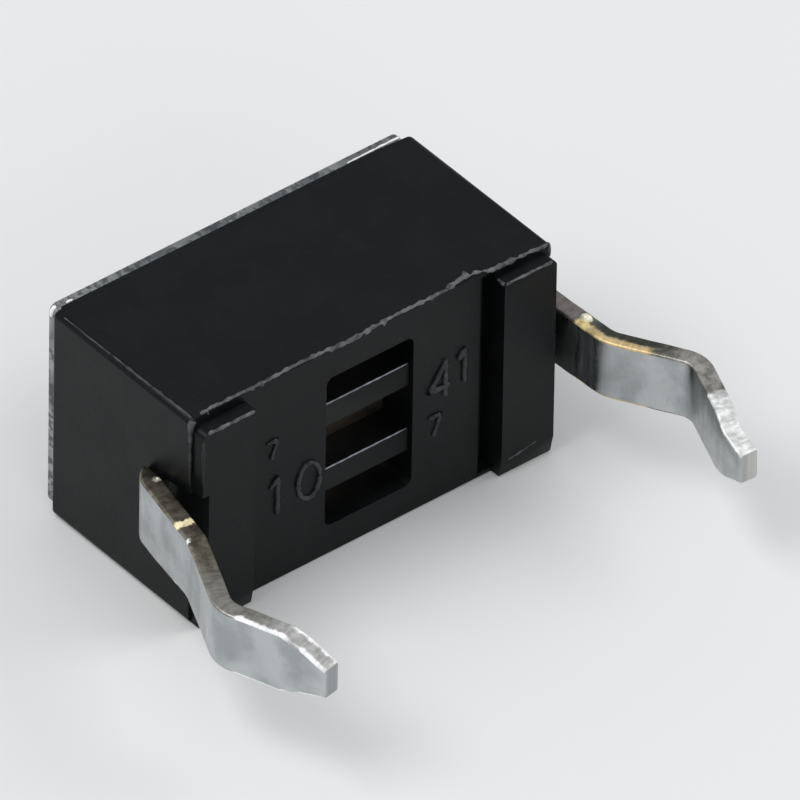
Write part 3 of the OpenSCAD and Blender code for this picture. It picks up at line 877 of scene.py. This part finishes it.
def makeNumbers():
    bm = bmesh.new()
    strokeY = numberSizes["boardFaceY"] - numberSizes["proud"]
    seed = numberSizes["firstSeed"]
    for number in mouldNumbers:
        unit = number["height"] / numberSizes["boxHeight"]
        for i, figure in enumerate(number["text"]):
            left = number["place"][0] + i * unit * number["gap"]
            for stroke in figureStrokes[figure]:
                points = [(left + x * unit, strokeY, number["place"][1] + z * unit) for x, z in stroke]
                layBead(bm, points, (number["bead"], number["bead"]), numberSizes["ragged"], seed)
                seed += numberSizes["seedStep"]
    beadPiece(bm, "mouldNumbers", [plastics["raisedPlasticPaintedSparkle"]])


makeNumbers()
print("switch: flash, burrs and numbers")

floorSizes = {"side": 2.0, "below": 0.02 * mm, "colour": (0.8, 0.8, 0.8), "roughness": 0.6}


def makeFloor():
    bpy.ops.mesh.primitive_plane_add(size=floorSizes["side"], location=(0, 0, -floorSizes["below"]))
    floor = bpy.context.object
    floor.name = "paleFloor"
    material, tree, skin = newMaterial("paleFloorPaint")
    skin.inputs["Base Color"].default_value = (*floorSizes["colour"], 1)
    skin.inputs["Roughness"].default_value = floorSizes["roughness"]
    floor.data.materials.append(material)


makeFloor()

# soft flat lamps: place and size in mm, power in watts
lamps = {
    "keyPanel": {"place": (-150, 48, 252), "size": (180, 180), "power": 0.432},
    "sidePanel": {"place": (228, -108, 156), "size": (144, 144), "power": 0.216},
    "frontPanel": {"place": (-84, -276, 132), "size": (156, 108), "power": 0.144},
}


lampAimZ = 1.7 * mm


def makeLamps():
    for name, lamp in lamps.items():
        light = bpy.data.lights.new(name, "AREA")
        light.shape = "RECTANGLE"
        light.size, light.size_y = (side * mm for side in lamp["size"])
        light.energy = lamp["power"]
        holder = bpy.data.objects.new(name, light)
        bpy.context.scene.collection.objects.link(holder)
        holder.location = [c * mm for c in lamp["place"]]
        aim = Vector((0, 0, lampAimZ)) - holder.location
        holder.rotation_euler = aim.to_track_quat("-Z", "Y").to_euler()


makeLamps()


roomLight = {"colour": (0.9, 0.92, 0.95), "strength": 0.55}


def makeWorld():
    world = bpy.data.worlds.new("softRoom")
    bpy.context.scene.world = world
    world.use_nodes = True
    backdrop = world.node_tree.nodes["Background"]
    backdrop.inputs["Color"].default_value = (*roomLight["colour"], 1)
    backdrop.inputs["Strength"].default_value = roomLight["strength"]


makeWorld()

# the photograph's view: angles in degrees, the aim, distance and width seen at the aim in mm
cameraSizes = {
    "aim": (0.93, -0.991, 1.522),
    "azimuth": -39.776,
    "elevation": 39.219,
    "roll": 1.02,
    "distance": 400,
    "viewWidth": 10.731,
    "sensor": 36,
    "nearAndFar": (0.01, 5),
}


def makeCamera():
    # the camera stands back from its aim, along the line of sight
    camera = bpy.data.cameras.new("photoCamera")
    camera.sensor_width = cameraSizes["sensor"]
    camera.lens = cameraSizes["sensor"] * cameraSizes["distance"] / cameraSizes["viewWidth"]
    camera.clip_start, camera.clip_end = cameraSizes["nearAndFar"]
    holder = bpy.data.objects.new("photoCamera", camera)
    bpy.context.scene.collection.objects.link(holder)
    aim = Matrix.Translation([c * mm for c in cameraSizes["aim"]])
    around = Matrix.Rotation(math.radians(cameraSizes["azimuth"]), 4, "Z")
    above = Matrix.Rotation(math.radians(90 - cameraSizes["elevation"]), 4, "X")
    roll = Matrix.Rotation(math.radians(cameraSizes["roll"]), 4, "Z")
    back = Matrix.Translation((0, 0, cameraSizes["distance"] * mm))
    holder.matrix_world = aim @ around @ above @ roll @ back
    bpy.context.scene.camera = holder


makeCamera()
bpy.context.scene.view_settings.view_transform = "Standard"
